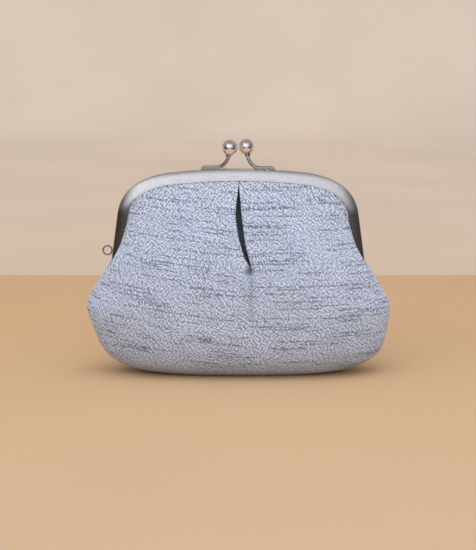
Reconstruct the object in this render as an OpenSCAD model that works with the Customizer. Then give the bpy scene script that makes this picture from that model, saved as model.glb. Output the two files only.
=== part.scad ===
// Coin purse with a riveted metal frame and a two-ball snap clasp.
// Millimetres, +Z up, the clasp's front faces -Y.
// The origin is the centre of the base, on the surface that the purse stands on.

/* [Frame] */
// Width over the two legs, at the height of the hinge
frame_w = 122; // [112:1:132]
// Height from the hinge axis to the top of the rails
frame_h = 51; // [46:0.5:56]
// Height of the hinge axis above the base
hinge_z = 46.5; // [44:0.5:50]
// Turn of the shallow arch, each side of the middle
arch_turn = 6.7; // [5.5:0.1:8]
// Outer radius of the shoulder between the arch and the corner
shoulder_r = 40; // [34:1:46]
// Angle from the arch's middle to the end of the shoulder
shoulder_turn = 29.3; // [25:0.1:33]
// Outer radius of the corner
corner_r = 19; // [16:0.5:22]
// Lean of the legs, outwards at the foot
leg_lean = 7.9; // [5:0.1:10]

/* [Rail] */
// Thickness of one rail, front to back
rail_t = 4.4; // [4:0.1:5.2]
// Depth of the rail's face, from its outer edge to its lip
rail_face = 5.2; // [4.6:0.1:6]
// Thickness of the folded sheet
rail_wall = 0.65; // [0.5:0.05:0.8]
// Radius of the fold at the rail's outer edges
rail_round = 0.9; // [0.7:0.05:1.2]
// Tilt of the domed face at its lip
face_tilt = 8; // [4:1:12]
// Tilt of the domed face where it meets the outer fold
face_turn = 30; // [24:1:36]
// Gap between the two closed rails
rail_gap = 0.2; // [0.1:0.05:0.5]
// Height of the leg's open end above the hinge axis
leg_end = 4.5; // [4.2:0.1:6]

/* [Hinge] */
// Thickness of each ear
ear_t = 0.7; // [0.6:0.05:0.8]
// Radius of each ear round the rivet
ear_r = 3.2; // [2.8:0.1:3.6]
// Gap between the two ears, and under the rivet's heads
ear_gap = 0.1; // [0.06:0.02:0.16]
// Radius of the rivet's shank
rivet_r = 1.1; // [0.9:0.05:1.3]
// Radius of the rivet's heads
rivet_head_r = 2; // [1.8:0.1:2.4]
// Height of the rivet's heads
rivet_head_h = 0.6; // [0.4:0.05:0.8]
// Radial running clearance of the ears on the rivet
rivet_play = 0.05; // [0.02:0.01:0.09]

/* [Clasp] */
// Diameter of the balls
ball_d = 7.6; // [7:0.1:8.4]
// Sideways gap between the balls as they pass
ball_pass = 0.15; // [0.1:0.05:0.3]
// How far each ball stands past the meeting plane of the rails
ball_cross = 2; // [1.5:0.1:2.6]
// Height of the balls' centres above the rails
ball_h = 10.2; // [9.6:0.1:11.5]
// Radius of the arm's wire
arm_r = 0.85; // [0.7:0.05:1]
// Distance from the middle of the frame to the foot's inner end
arm_x = 8.4; // [7.5:0.1:9.5]
// Length of the foot soldered to the rail
foot_l = 9; // [7:0.1:11]
// Thickness of the foot
foot_t = 1.6; // [1.2:0.1:1.8]
// Width of the foot, front to back
foot_w = 2.2; // [1.8:0.1:2.4]
// Radius of the collar that holds the ball
collar_r = 1.7; // [1.4:0.1:2]
// Height of the collar below the ball's seat
collar_h = 1.1; // [0.8:0.1:1.5]

/* [Strap ring] */
// Inner radius of the strap ring
ring_bore_r = 1.75; // [1.5:0.05:2.2]
// Radius of the ring's wire
ring_wire_r = 0.42; // [0.35:0.01:0.5]
// Height of the ring's centre above the hinge axis
ring_up = 12; // [9:0.5:16]

/* [Pouch] */
// How far the seam stands outside the leg, at the height of the hinge
hip_out = 3.1; // [2:0.1:4.5]
// How far the side corners stand outside the legs
corner_out = 11.3; // [9:0.1:14]
// Height of the side corners
corner_z = 32.5; // [30:0.5:35]
// How far the sides draw in again below the corners
side_in = 2.3; // [1:0.1:3.5]
// Largest half depth of the belly
belly_y = 22; // [20:0.5:24]
// Height of the deepest part of the belly
belly_z = 24; // [22:0.5:27]
// Thickness of the outer cloth with its fused interlining
cloth_t = 0.7; // [0.6:0.05:0.8]
// Thickness of the lining
lining_t = 0.5; // [0.4:0.05:0.6]
// Gap between the outer cloth and the lining
layer_gap = 0.15; // [0.1:0.05:0.2]
// Clearance between the moving and the fixed cloth, where they lap at the hinge
lap_gap = 0.35; // [0.25:0.05:0.5]
// Depth of the tuck in the middle of each side
tuck_depth = 2.6; // [1.5:0.1:3.2]

/* [Channel filling] */
// Radius of the twisted paper cord in each channel
cord_r = 0.6; // [0.5:0.05:0.65]

/* [Hidden] */

metal = [0.78, 0.79, 0.80];
bright_metal = [0.86, 0.86, 0.87];
cloth = [0.62, 0.66, 0.73];
lining = [0.85, 0.83, 0.78];
paper = [0.80, 0.72, 0.58];
$fn = 64;

// Outline of the frame's outer edge: arch, shoulder, corner and a straight leg
corner_turn = 90 - leg_lean;
top_z = hinge_z + frame_h;
reach_x = frame_w / 2
    - shoulder_r * (sin(shoulder_turn) - sin(arch_turn))
    - corner_r * (sin(corner_turn) - sin(shoulder_turn));
reach_z = frame_h
    - shoulder_r * (cos(arch_turn) - cos(shoulder_turn))
    - corner_r * (cos(shoulder_turn) - cos(corner_turn));
outline_det = sin(arch_turn) * cos(leg_lean) - sin(leg_lean) * (1 - cos(arch_turn));
arch_r = (reach_x * cos(leg_lean) - reach_z * sin(leg_lean)) / outline_det;
leg_to_axis = (reach_z * sin(arch_turn) - reach_x * (1 - cos(arch_turn))) / outline_det;
leg_l = leg_to_axis - leg_end / cos(leg_lean);

function radial(a) = [sin(a), cos(a)];
arch_c = [0, top_z - arch_r];
shoulder_c = arch_c + (arch_r - shoulder_r) * radial(arch_turn);
corner_c = shoulder_c + (shoulder_r - corner_r) * radial(shoulder_turn);
leg_top = corner_c + corner_r * radial(corner_turn);
leg_dir = [sin(leg_lean), -cos(leg_lean)];

arch_len = arch_r * arch_turn * PI / 180;
shoulder_len = shoulder_r * (shoulder_turn - arch_turn) * PI / 180;
corner_len = corner_r * (corner_turn - shoulder_turn) * PI / 180;
half_len = arch_len + shoulder_len + corner_len + leg_l;

// Point at a distance s along the right half of the outline, moved inwards by off
function half_point(s, off) =
    s < arch_len
        ? arch_c + (arch_r - off) * radial(s / arch_len * arch_turn)
    : s < arch_len + shoulder_len
        ? shoulder_c + (shoulder_r - off)
            * radial(arch_turn + (s - arch_len) / shoulder_len * (shoulder_turn - arch_turn))
    : s < arch_len + shoulder_len + corner_len
        ? corner_c + (corner_r - off)
            * radial(shoulder_turn + (s - arch_len - shoulder_len) / corner_len
                * (corner_turn - shoulder_turn))
    : leg_top + (s - half_len + leg_l) * leg_dir - off * radial(corner_turn);

// The same for both halves: u runs from -1 at the left leg's end to 1 at the right
function frame_point(u, off) =
    let (p = half_point(abs(u) * half_len, off))
    [u < 0 ? -p[0] : p[0], p[1]];

// Outer edge of the right leg at a height z
function leg_x(z) = frame_w / 2 - (z - hinge_z) * tan(leg_lean);

// Rail section, larger by g all round: x is the distance outwards from the outline,
// y the distance forwards. Its face is an arc of radius dome_r that ends in the outer fold.
face_near = rail_gap / 2;
face_far = face_near + rail_t;
dome_r = (rail_face - rail_round * (1 - sin(face_turn))) / (sin(face_turn) - sin(face_tilt));
dome_c = [-rail_face - dome_r * sin(face_tilt), face_far - dome_r * cos(face_tilt)];
fold_c = dome_c + (dome_r - rail_round) * [sin(face_turn), cos(face_turn)];
dome_steps = [for (k = [1 : 5]) face_tilt + (face_turn - face_tilt) * k / 5];
fold_steps = [for (k = [1 : 4]) face_turn + (90 - face_turn) * k / 4];
near_steps = [0 : 22.5 : 90];
function dome_points(r) = [for (a = dome_steps) dome_c + r * radial(a)];
function fold_points(r) = [for (a = fold_steps) fold_c + r * radial(a)];
function dome_lip(r, x) = [x, dome_c[1] + sqrt(pow(r, 2) - pow(x - dome_c[0], 2))];
function backwards(list) = [for (k = [len(list) - 1 : -1 : 0]) list[k]];
module rail_section(g = 0) {
    lip = -rail_face - g;
    out_dome = dome_r + g;
    in_dome = dome_r - rail_wall - g;
    in_r = rail_round - rail_wall - g;
    near_c = [-rail_round, face_near + rail_round];
    polygon([
        [lip, face_near - g],
        for (a = near_steps)
            near_c + (rail_round + g) * [sin(a), -cos(a)],
        each backwards(fold_points(rail_round + g)),
        each backwards(dome_points(out_dome)),
        dome_lip(out_dome, lip),
        dome_lip(in_dome, lip),
        each dome_points(in_dome),
        each fold_points(in_r),
        near_c + [in_r, 0],
        near_c + [0, -in_r],
        [lip, face_near + rail_wall + g]
    ]);
}

// Depth of the channel's inner face at a distance off from the rail's outer edge
function channel_at(off) = dome_lip(dome_r - rail_wall, -min(off, rail_face))[1];

// One arc of the frame's outline, swept from the angle a0 to a1
module outline_arc(centre, r, a0, a1) {
    translate([centre[0], 0, centre[1]])
        rotate([90, 0, 0])
            rotate_extrude(angle = a1 - a0, start = 90 - a1, $fn = 180)
                translate([r, 0])
                    children();
}

// Turns a section to face along the outline, at the point p where its angle is a
module on_outline(p, a) {
    translate([p[0], 0, p[1]])
        rotate([0, a - 90, 0])
            rotate([180, 0, 0])
                children();
}

// The whole outline, swept with the first child as its section. The second child is the
// same section a hair larger: a short band of it ties each two neighbouring arcs together.
tie = 0.02;
tie_l = 0.4;
joins = [
    [shoulder_c + shoulder_r * radial(arch_turn), arch_turn],
    [corner_c + corner_r * radial(shoulder_turn), shoulder_turn],
    [leg_top, corner_turn]
];
module outline_sweep(leg = leg_l) {
    outline_arc(arch_c, arch_r, -arch_turn, arch_turn) children(0);
    for (side = [0, 1])
        mirror([side, 0, 0]) {
            outline_arc(shoulder_c, shoulder_r, arch_turn, shoulder_turn) children(0);
            outline_arc(corner_c, corner_r, shoulder_turn, corner_turn) children(0);
            on_outline(leg_top, corner_turn)
                linear_extrude(leg) children(0);
            for (join = joins)
                on_outline(join[0], join[1])
                    linear_extrude(tie_l, center = true) children(1);
        }
}

// Hinge ears: the front rail's pair is outside, the rear rail's pair inside
outer_ear_x = frame_w / 2 - 0.35 - ear_t;
inner_ear_x = outer_ear_x - ear_gap - ear_t;
tab_inset = 0.3;
tab_w = fold_c[1] + rail_round - face_near - 2 * tab_inset;

// One flat ear at x0, with a tab that runs up into the leg by tab_h above the axis
module ear(x0, tab_h) {
    difference() {
        union() {
            translate([x0, 0, hinge_z])
                rotate([0, 90, 0])
                    cylinder(h = ear_t, r = ear_r);
            translate([x0, -face_near - tab_inset - tab_w, hinge_z])
                cube([ear_t, tab_w, tab_h]);
        }
        translate([x0 - 1, 0, hinge_z])
            rotate([0, 90, 0])
                cylinder(h = ear_t + 2, r = rivet_r + rivet_play);
    }
}

module rail(ear_x, tab_h) {
    outline_sweep() {
        rail_section();
        rail_section(tie);
    }
    for (side = [0, 1])
        mirror([side, 0, 0])
            ear(ear_x, tab_h);
}

outer_tab_h = leg_end + 2.8;
inner_tab_h = leg_end + 5;

module front_rail() {
    color(metal)
        rail(outer_ear_x, outer_tab_h);
}

module rear_rail() {
    color(metal)
        mirror([0, 1, 0])
            rail(inner_ear_x, inner_tab_h);
}

// Rivet along +X, with a flat head inside and a domed head outside
module rivet() {
    grip = 2 * ear_t + ear_gap;
    under_in = inner_ear_x - ear_gap;
    under_out = under_in + grip + 2 * ear_gap;
    translate([0, 0, hinge_z])
        rotate([0, 90, 0])
            rotate_extrude()
                polygon([
                    [0, under_in - rivet_head_h],
                    [rivet_head_r, under_in - rivet_head_h],
                    [rivet_head_r, under_in],
                    [rivet_r, under_in],
                    [rivet_r, under_out],
                    [rivet_head_r, under_out],
                    for (a = [15 : 15 : 75])
                        [rivet_head_r * cos(a), under_out + rivet_head_h * sin(a)],
                    [0, under_out + rivet_head_h]
                ]);
}

module right_hinge_rivet() {
    color(bright_metal) rivet();
}

module left_hinge_rivet() {
    color(bright_metal) mirror([1, 0, 0]) rivet();
}

// Clasp, drawn for the front rail: foot to the right, ball crossed over to the rear
ball_r = ball_d / 2;
edge_y = -(face_near + rail_round + fold_c[1]) / 2;
ball_c = [ball_r + ball_pass / 2, ball_cross, top_z + ball_h];
arm_top_z = top_z - arch_r + sqrt(arch_r * arch_r - arm_x * arm_x);
wire_z = arm_top_z + arm_r + 0.05;
arm_rise = ball_c[2] - ball_r - collar_h - 0.5 - wire_z;
arm_steps = [[0, 0], [0.22, 0.07], [0.45, 0.27], [0.64, 0.56], [0.84, 1]];
arm_path = [
    for (p = arm_steps)
        [
            arm_x + 0.8 + (ball_c[0] - arm_x - 0.8) * p[0],
            edge_y + (ball_c[1] - edge_y) * 0.6 * p[1],
            wire_z + arm_rise * p[1]
        ]
];
elbow = arm_path[4];
seat_dir = (ball_c - elbow) / norm(ball_c - elbow);

// Carries its children from +Z to the direction d, starting at p
module along(p, d) {
    translate(p)
        rotate([0, acos(d[2] / norm(d)), atan2(d[1], d[0])])
            children();
}

module rod(p, q, r) {
    along(p, q - p)
        cylinder(h = norm(q - p), r = r, $fn = 40);
}

seat_h = norm(ball_c - elbow) - ball_r;
solder = 0.02;

// Foot of the clasp: a bar with rounded top edges, lying along the rail
module clasp_foot() {
    top = arm_top_z + foot_t;
    intersection() {
        translate([0, edge_y + foot_w / 2, 0])
            rotate([90, 0, 0])
                linear_extrude(foot_w)
                    polygon([
                        [arm_x, arm_top_z - foot_t],
                        [arm_x, top - 0.5],
                        [arm_x + 0.5, top],
                        [arm_x + foot_l - 1.2, top - 0.1],
                        [arm_x + foot_l - 0.3, top - 0.5],
                        [arm_x + foot_l, top - 1.1],
                        [arm_x + foot_l, arm_top_z - foot_t]
                    ]);
        translate([arm_x - 1, edge_y, 0])
            rotate([90, 0, 90])
                linear_extrude(foot_l + 2)
                    polygon([
                        [-foot_w / 2, arm_top_z - 2 * foot_t],
                        [foot_w / 2, arm_top_z - 2 * foot_t],
                        for (a = [0 : 22.5 : 90])
                            [foot_w / 2 - 0.6 + 0.6 * cos(a), top - 0.6 + 0.6 * sin(a)],
                        for (a = [90 : 22.5 : 180])
                            [-foot_w / 2 + 0.6 + 0.6 * cos(a), top - 0.6 + 0.6 * sin(a)]
                    ]);
    }
}

module clasp_arm() {
    difference() {
        clasp_foot();
        translate([0, 0, arch_c[1]])
            rotate([90, 0, 0])
                cylinder(h = 2 * rail_t, r = arch_r + solder, center = true, $fn = 360);
    }
    for (k = [0 : 3]) {
        rod(arm_path[k], arm_path[k + 1], arm_r);
        translate(arm_path[k + 1]) sphere(r = arm_r + 0.02, $fn = 40);
    }
    translate(arm_path[0]) sphere(r = arm_r + 0.02, $fn = 40);
    rod(elbow, elbow + seat_dir * (seat_h - collar_h + 0.25), arm_r);
}

// Collar: a small cup with a hollow seat for the ball and a hole for the arm's end
module clasp_collar() {
    difference() {
        along(elbow + seat_dir * (seat_h - collar_h + 0.25), seat_dir)
            cylinder(h = collar_h + 0.45, r1 = collar_r - 0.5, r2 = collar_r, $fn = 40);
        translate(ball_c)
            sphere(r = ball_r + solder, $fn = 64);
    }
}

module clasp_ball() {
    translate(ball_c)
        sphere(r = ball_r, $fn = 64);
}

// The rear clasp is the front one turned half a turn about the vertical axis
module half_turn() {
    rotate([0, 0, 180]) children();
}

module front_clasp_arm() {
    color(metal) clasp_arm();
}

module rear_clasp_arm() {
    color(metal) half_turn() clasp_arm();
}

module front_clasp_collar() {
    color(metal) clasp_collar();
}

module rear_clasp_collar() {
    color(metal) half_turn() clasp_collar();
}

module front_clasp_ball() {
    color(bright_metal) clasp_ball();
}

module rear_clasp_ball() {
    color(bright_metal) half_turn() clasp_ball();
}

// Strap ring beside the left leg of the rear rail, with a small pad soldered to the leg
ring_z = hinge_z + ring_up;
ring_wire_c = ring_bore_r + ring_wire_r * 0.78;
ring_outer_r = ring_wire_c + ring_wire_r;
ring_x = -(leg_x(ring_z) + ring_outer_r + 0.1);
ring_y = -edge_y;
module strap_ring() {
    color(metal) {
        translate([ring_x, ring_y, ring_z])
            rotate([90, 0, 0])
                rotate_extrude()
                    intersection() {
                        translate([ring_wire_c, 0]) circle(r = ring_wire_r, $fn = 32);
                        translate([ring_bore_r, -1]) square([3, 2]);
                    }
        // The pad's outer end is in the wire, its inner end lies on the leg
        difference() {
            translate([ring_x + ring_wire_c, ring_y - 0.3, ring_z - 0.6])
                cube([ring_wire_r + 0.6, 0.6, 1.2]);
            mirror([1, 0, 0])
                on_outline(leg_top, corner_turn)
                    translate([-10, -10, -20])
                        cube([10, 20, 80]);
        }
    }
}

// Paper cord that wedges the cloth in its channel
cord_y = face_near + rail_wall + 0.1 + cord_r;
cord_in = rail_wall + 0.4 + cord_r;
cord_short = inner_tab_h - leg_end + 0.8;
module cord_section(g = 0) {
    translate([-cord_in, cord_y])
        circle(r = cord_r + g, $fn = 8);
}

module paper_cord() {
    color(paper)
        outline_sweep(leg_l - cord_short) {
            cord_section();
            cord_section(tie);
        }
}

module front_paper_cord() {
    paper_cord();
}

module rear_paper_cord() {
    mirror([0, 1, 0]) paper_cord();
}

// Belly: half depth of the pouch at a height z, and half width of its seam
skin_gap = 0.05;
channel_y = channel_at(rail_face) - skin_gap;
exit_z = top_z - rail_face - 0.3;
round_power = 3;
base_soft_y = 0.6;
base_soft_x = 1.5;
side_round_z = 25;
corner_x = frame_w / 2 + corner_out;
side_x = corner_x - side_in;
hip_slope = (corner_out - hip_out) / (hinge_z - corner_z);
function depth_at(z) =
    z < belly_z
        ? belly_y * pow(1 - pow((belly_z - z) / (belly_z + base_soft_y), round_power), 1 / round_power)
        : channel_y + (belly_y - channel_y) * sin(90 * (exit_z - z) / (exit_z - belly_z));
function width_at(z) =
    z < side_round_z
        ? side_x * pow(1 - pow((side_round_z - z) / (side_round_z + base_soft_x), round_power),
            1 / round_power)
    : z < corner_z
        ? side_x + (corner_x - side_x) * (z - side_round_z) / (corner_z - side_round_z)
    : corner_x - hip_slope * (z - corner_z);

// Depth of the pouch at a share f of its half width, for the half depth d
function bulge(d, f) = d * pow(max(0, 1 - pow(abs(f), 3)), 0.6);

// The lower pouch's rim lies as high as the swinging upper cloth lets it: the drop below the
// hinge axis where a skin, inset by a, clears the circle that the upper cloth sweeps
hip_depth = depth_at(hinge_z);
function rim_drop(a, drop = 2) =
    norm([depth_at(hinge_z - drop) - a, drop]) > hip_depth + lap_gap
        ? drop
        : rim_drop(a, drop + 0.1);
lining_inset = cloth_t + layer_gap;
rim_z = hinge_z - rim_drop(cloth_t);
lining_rim_z = hinge_z - rim_drop(lining_inset + lining_t);

// Lower pouch: a half tub from the base to its rim, inset by a0 outside and a1 inside
tub_cols = 28;
tub_levels = concat(
    [for (k = [0 : 8]) side_round_z * (0.3 * k / 8 + 0.7 * k * k / 64)],
    [corner_z, lining_rim_z, rim_z]
);
// The floor's thickness fades out of the heights up to the widest level
function raised(z, a) = z < side_round_z ? a + z * (1 - a / side_round_z) : z;
function tub_skin(a, rows) = [
    for (i = [0 : rows], j = [0 : tub_cols])
        let (z = tub_levels[i])
        let (f = sin(-90 + 180 * j / tub_cols))
        [(width_at(z) - a) * f, -bulge(depth_at(z) - a, f), raised(z, a)]
];

module half_tub(a0, a1, rows) {
    n = tub_cols + 1;
    m = (rows + 1) * n;
    outer = tub_skin(a0, rows);
    inner = tub_skin(a1, rows);
    base = [[0, 0, a0], [0, 0, a1]];
    walls = [
        for (i = [0 : rows - 1], j = [0 : tub_cols - 1])
            let (p = i * n + j)
            each [
                [p, p + n, p + n + 1], [p, p + n + 1, p + 1],
                [m + p, m + p + n + 1, m + p + n], [m + p, m + p + 1, m + p + n + 1]
            ]
    ];
    top = rows * n;
    rim_strip = [
        for (j = [0 : tub_cols - 1])
            let (p = top + j)
            each [[p, m + p, m + p + 1], [p, m + p + 1, p + 1]]
    ];
    ends = [
        for (i = [0 : rows - 1])
            let (p = i * n, q = p + tub_cols)
            each [
                [p, m + p, m + p + n], [p, m + p + n, p + n],
                [q, q + n, m + q + n], [q, m + q + n, m + q]
            ]
    ];
    c = 2 * m;
    floor_fan = [
        for (j = [0 : tub_cols - 1])
            each [[c, j, j + 1], [c + 1, m + j + 1, m + j]]
    ];
    floor_ends = [
        [c, c + 1, m], [c, m, 0],
        [c, tub_cols, m + tub_cols], [c, m + tub_cols, c + 1]
    ];
    polyhedron(
        concat(outer, inner, base),
        concat(walls, rim_strip, ends, floor_fan, floor_ends),
        convexity = 4
    );
}

rim_row = len(tub_levels) - 1;

module cloth_lower() {
    color(cloth) half_tub(0, cloth_t, rim_row);
}

module lining_lower() {
    color(lining) half_tub(lining_inset, lining_inset + lining_t, rim_row - 1);
}

module front_cloth_lower() {
    cloth_lower();
}

module rear_cloth_lower() {
    half_turn() cloth_lower();
}

module front_lining_lower() {
    lining_lower();
}

module rear_lining_lower() {
    half_turn() lining_lower();
}

// Upper cloth: from inside the channel, over the lip and down to the hinge's height,
// then a short skirt of constant distance from the hinge axis that dips into the lower pouch
tuck_us = [-0.06, -0.03, -0.012, 0, 0.012, 0.03, 0.06];
side_us = [for (k = [1 : 16]) 0.06 + 0.94 * k / 16];
panel_us = concat([for (k = [15 : -1 : 0]) -side_us[k]], tuck_us, side_us);
panel_rows = 7;
skirt_rows = 2;
skirt_drop = hinge_z - rim_z + 0.6;
skirt_turn_max = 32;
hip_x = frame_w / 2 - 1;
past_leg = 1 + 0.7 / half_len;
channel_in = 2.9;
channel_out = rail_face + 0.3;
leg_clear = 1.6;
lining_short = 1;
hip_w = width_at(hinge_z);
exit_turn = 90 * (exit_z - hinge_z) / (exit_z - belly_z);

// Inward push of the tuck at a share v of the way down, near the middle of the panel
function tuck(u, v) =
    let (a = abs(u))
    tuck_depth * sin(180 * min(1, max(0, (v - 0.05) / 0.9)))
        * (a < 0.005 ? 1 : a < 0.02 ? 0.3 : a < 0.04 ? -0.12 : 0);

// Distance of the panel's second row from the frame's edge: it leaves the leg's lip near its end
function row_out(u) = channel_out + leg_clear * max(0, (abs(u) - 0.8) / 0.2);

// A point of the upper cloth, a below its outer skin: rows 0 and 1 are in the channel, and
// from row 1 the inner skins turn round the lip outside each other
function panel_point(u, i, a) =
    let (hip = bulge(hip_depth, hip_x * u / hip_w))
    i < 2
        ? let (p = frame_point(u * past_leg, i == 0 ? channel_in : row_out(u) + a))
          [p[0], a - channel_at(i == 0 ? channel_in : rail_face) + skin_gap, p[1]]
    : i <= panel_rows + 1
        ? let (v = (i - 1) / panel_rows)
          let (p = frame_point(u * past_leg, row_out(u) + a))
          let (d = channel_y + (hip - channel_y) * sin(exit_turn * v) / sin(exit_turn))
          [p[0] + (hip_x * u - p[0]) * v, a - d + tuck(u, v), p[1] + (hinge_z - p[1]) * v]
    : let (dip_end = min(skirt_turn_max, asin(skirt_drop / hip)))
      let (dip = dip_end * (i - panel_rows - 1) / skirt_rows)
      [hip_x * u, (a - hip) * cos(dip), hinge_z - (hip - a) * sin(dip)];

// The panel between its skins a0 and a1, down to the row last, less some columns at each end
module panel(a0, a1, last, short = 0) {
    us = [for (j = [short : len(panel_us) - 1 - short]) panel_us[j]];
    n = len(us);
    m = (last + 1) * n;
    points = [
        for (a = [a0, a1], i = [0 : last], u = us)
            panel_point(u, i, a)
    ];
    walls = [
        for (i = [0 : last - 1], j = [0 : n - 2])
            let (p = i * n + j)
            each [
                [p, p + 1, p + n + 1], [p, p + n + 1, p + n],
                [m + p, m + p + n + 1, m + p + 1], [m + p, m + p + n, m + p + n + 1]
            ]
    ];
    end = last * n;
    edges = [
        for (j = [0 : n - 2])
            each [
                [j, m + j, m + j + 1], [j, m + j + 1, j + 1],
                [end + j, end + j + 1, m + end + j + 1], [end + j, m + end + j + 1, m + end + j]
            ]
    ];
    sides = [
        for (i = [0 : last - 1])
            let (p = i * n, q = p + n - 1)
            each [
                [p, p + n, m + p + n], [p, m + p + n, m + p],
                [q, m + q, m + q + n], [q, m + q + n, q + n]
            ]
    ];
    polyhedron(points, concat(walls, edges, sides), convexity = 6);
}

module cloth_upper() {
    color(cloth) panel(0, cloth_t, panel_rows + 1 + skirt_rows);
}

module lining_upper() {
    color(lining)
        panel(lining_inset, lining_inset + lining_t, panel_rows + 1, lining_short);
}

module front_cloth_upper() {
    cloth_upper();
}

module rear_cloth_upper() {
    half_turn() cloth_upper();
}

module front_lining_upper() {
    lining_upper();
}

module rear_lining_upper() {
    half_turn() lining_upper();
}

front_rail();
rear_rail();
left_hinge_rivet();
right_hinge_rivet();
front_clasp_arm();
rear_clasp_arm();
front_clasp_collar();
rear_clasp_collar();
front_clasp_ball();
rear_clasp_ball();
strap_ring();
front_paper_cord();
rear_paper_cord();
front_cloth_upper();
rear_cloth_upper();
front_cloth_lower();
rear_cloth_lower();
front_lining_upper();
rear_lining_upper();
front_lining_lower();
rear_lining_lower();
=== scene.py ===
"""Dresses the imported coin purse: cloth pouch, lining, clasp metal, stage, lamps and camera."""
import math

import bpy
import numpy as np
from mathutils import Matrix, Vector


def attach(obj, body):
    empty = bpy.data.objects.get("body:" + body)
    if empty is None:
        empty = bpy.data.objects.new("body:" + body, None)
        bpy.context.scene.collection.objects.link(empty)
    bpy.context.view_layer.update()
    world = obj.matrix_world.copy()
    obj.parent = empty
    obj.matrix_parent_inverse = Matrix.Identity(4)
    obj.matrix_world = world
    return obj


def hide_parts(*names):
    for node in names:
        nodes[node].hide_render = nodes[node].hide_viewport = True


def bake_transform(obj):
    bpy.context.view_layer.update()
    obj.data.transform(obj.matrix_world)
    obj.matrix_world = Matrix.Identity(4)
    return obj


bl_info = {
    "name": "Coin Purse",
    "version": (1, 0, 0),
    "blender": (4, 5, 0),
    "location": "3D View > Sidebar > Purse",
    "description": "Cloth, lining and metal finish of a two-ball clasp purse",
    "category": "Object",
}

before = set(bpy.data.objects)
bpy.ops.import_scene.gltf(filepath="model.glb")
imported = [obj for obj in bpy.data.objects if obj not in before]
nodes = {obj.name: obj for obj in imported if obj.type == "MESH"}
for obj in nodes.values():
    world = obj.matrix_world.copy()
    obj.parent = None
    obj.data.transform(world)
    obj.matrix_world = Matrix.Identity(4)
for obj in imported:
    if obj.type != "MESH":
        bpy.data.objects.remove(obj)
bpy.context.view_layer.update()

MM = 0.001


# Sizes that a user would change

class PurseSizes(bpy.types.PropertyGroup):
    """Lengths of the purse, as the metal frame sets them"""

    frame_w: bpy.props.FloatProperty(
        name="Frame width", description="Over the legs, at the height of the hinge",
        default=0.122, unit="LENGTH")
    frame_h: bpy.props.FloatProperty(
        name="Frame height", description="From the hinge to the top of the rails",
        default=0.051, unit="LENGTH")
    hinge_z: bpy.props.FloatProperty(
        name="Hinge height", description="Above the surface that the purse stands on",
        default=0.0465, unit="LENGTH")
    rail_face: bpy.props.FloatProperty(
        name="Rail face", description="From the rail's outer edge to its lip",
        default=0.0052, unit="LENGTH")
    corner_x: bpy.props.FloatProperty(
        name="Pouch half width", description="Half width at the side corners",
        default=0.0723, unit="LENGTH")
    belly: bpy.props.FloatProperty(
        name="Belly", description="Largest half depth of the pouch",
        default=0.022, unit="LENGTH")
    cloth_t: bpy.props.FloatProperty(
        name="Cloth thickness", description="Outer cloth as it shows at its edges",
        default=0.0005, unit="LENGTH")
    lining_t: bpy.props.FloatProperty(
        name="Lining thickness", description="Lining as it shows at its edges",
        default=0.0004, unit="LENGTH")
    tuck_depth: bpy.props.FloatProperty(
        name="Tuck depth", description="How far the open tuck folds in",
        default=0.0070, unit="LENGTH")


class PurseColours(bpy.types.PropertyGroup):
    """Colours of the purse"""

    cloth: bpy.props.FloatVectorProperty(
        name="Cloth", description="Mean colour of the woven outer cloth",
        subtype="COLOR", size=3, default=(0.438, 0.500, 0.668))
    slub: bpy.props.FloatVectorProperty(
        name="Slub", description="Dark dyed threads in the cloth",
        subtype="COLOR", size=3, default=(0.060, 0.078, 0.140))
    lining: bpy.props.FloatVectorProperty(
        name="Lining", description="Plain cotton inside",
        subtype="COLOR", size=3, default=(0.78, 0.75, 0.69))
    nickel: bpy.props.FloatVectorProperty(
        name="Nickel", description="Plating of the rails",
        subtype="COLOR", size=3, default=(0.675, 0.68, 0.725))
    wall: bpy.props.FloatVectorProperty(
        name="Wall", description="Backdrop",
        subtype="COLOR", size=3, default=(0.565, 0.450, 0.350))
    table: bpy.props.FloatVectorProperty(
        name="Table", description="Surface that the purse stands on",
        subtype="COLOR", size=3, default=(0.54, 0.390, 0.262))


# Frame outline, as the metal rails follow it: arch, shoulder, corner and straight leg

ARCH_TURN = math.radians(6.7)
SHOULDER_R = 0.040
SHOULDER_TURN = math.radians(29.3)
CORNER_R = 0.019
LEG_LEAN = math.radians(7.9)
LEG_END = 0.0045
CORNER_TURN = math.pi / 2 - LEG_LEAN


def radial(a):
    return np.array([math.sin(a), math.cos(a)])


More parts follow.
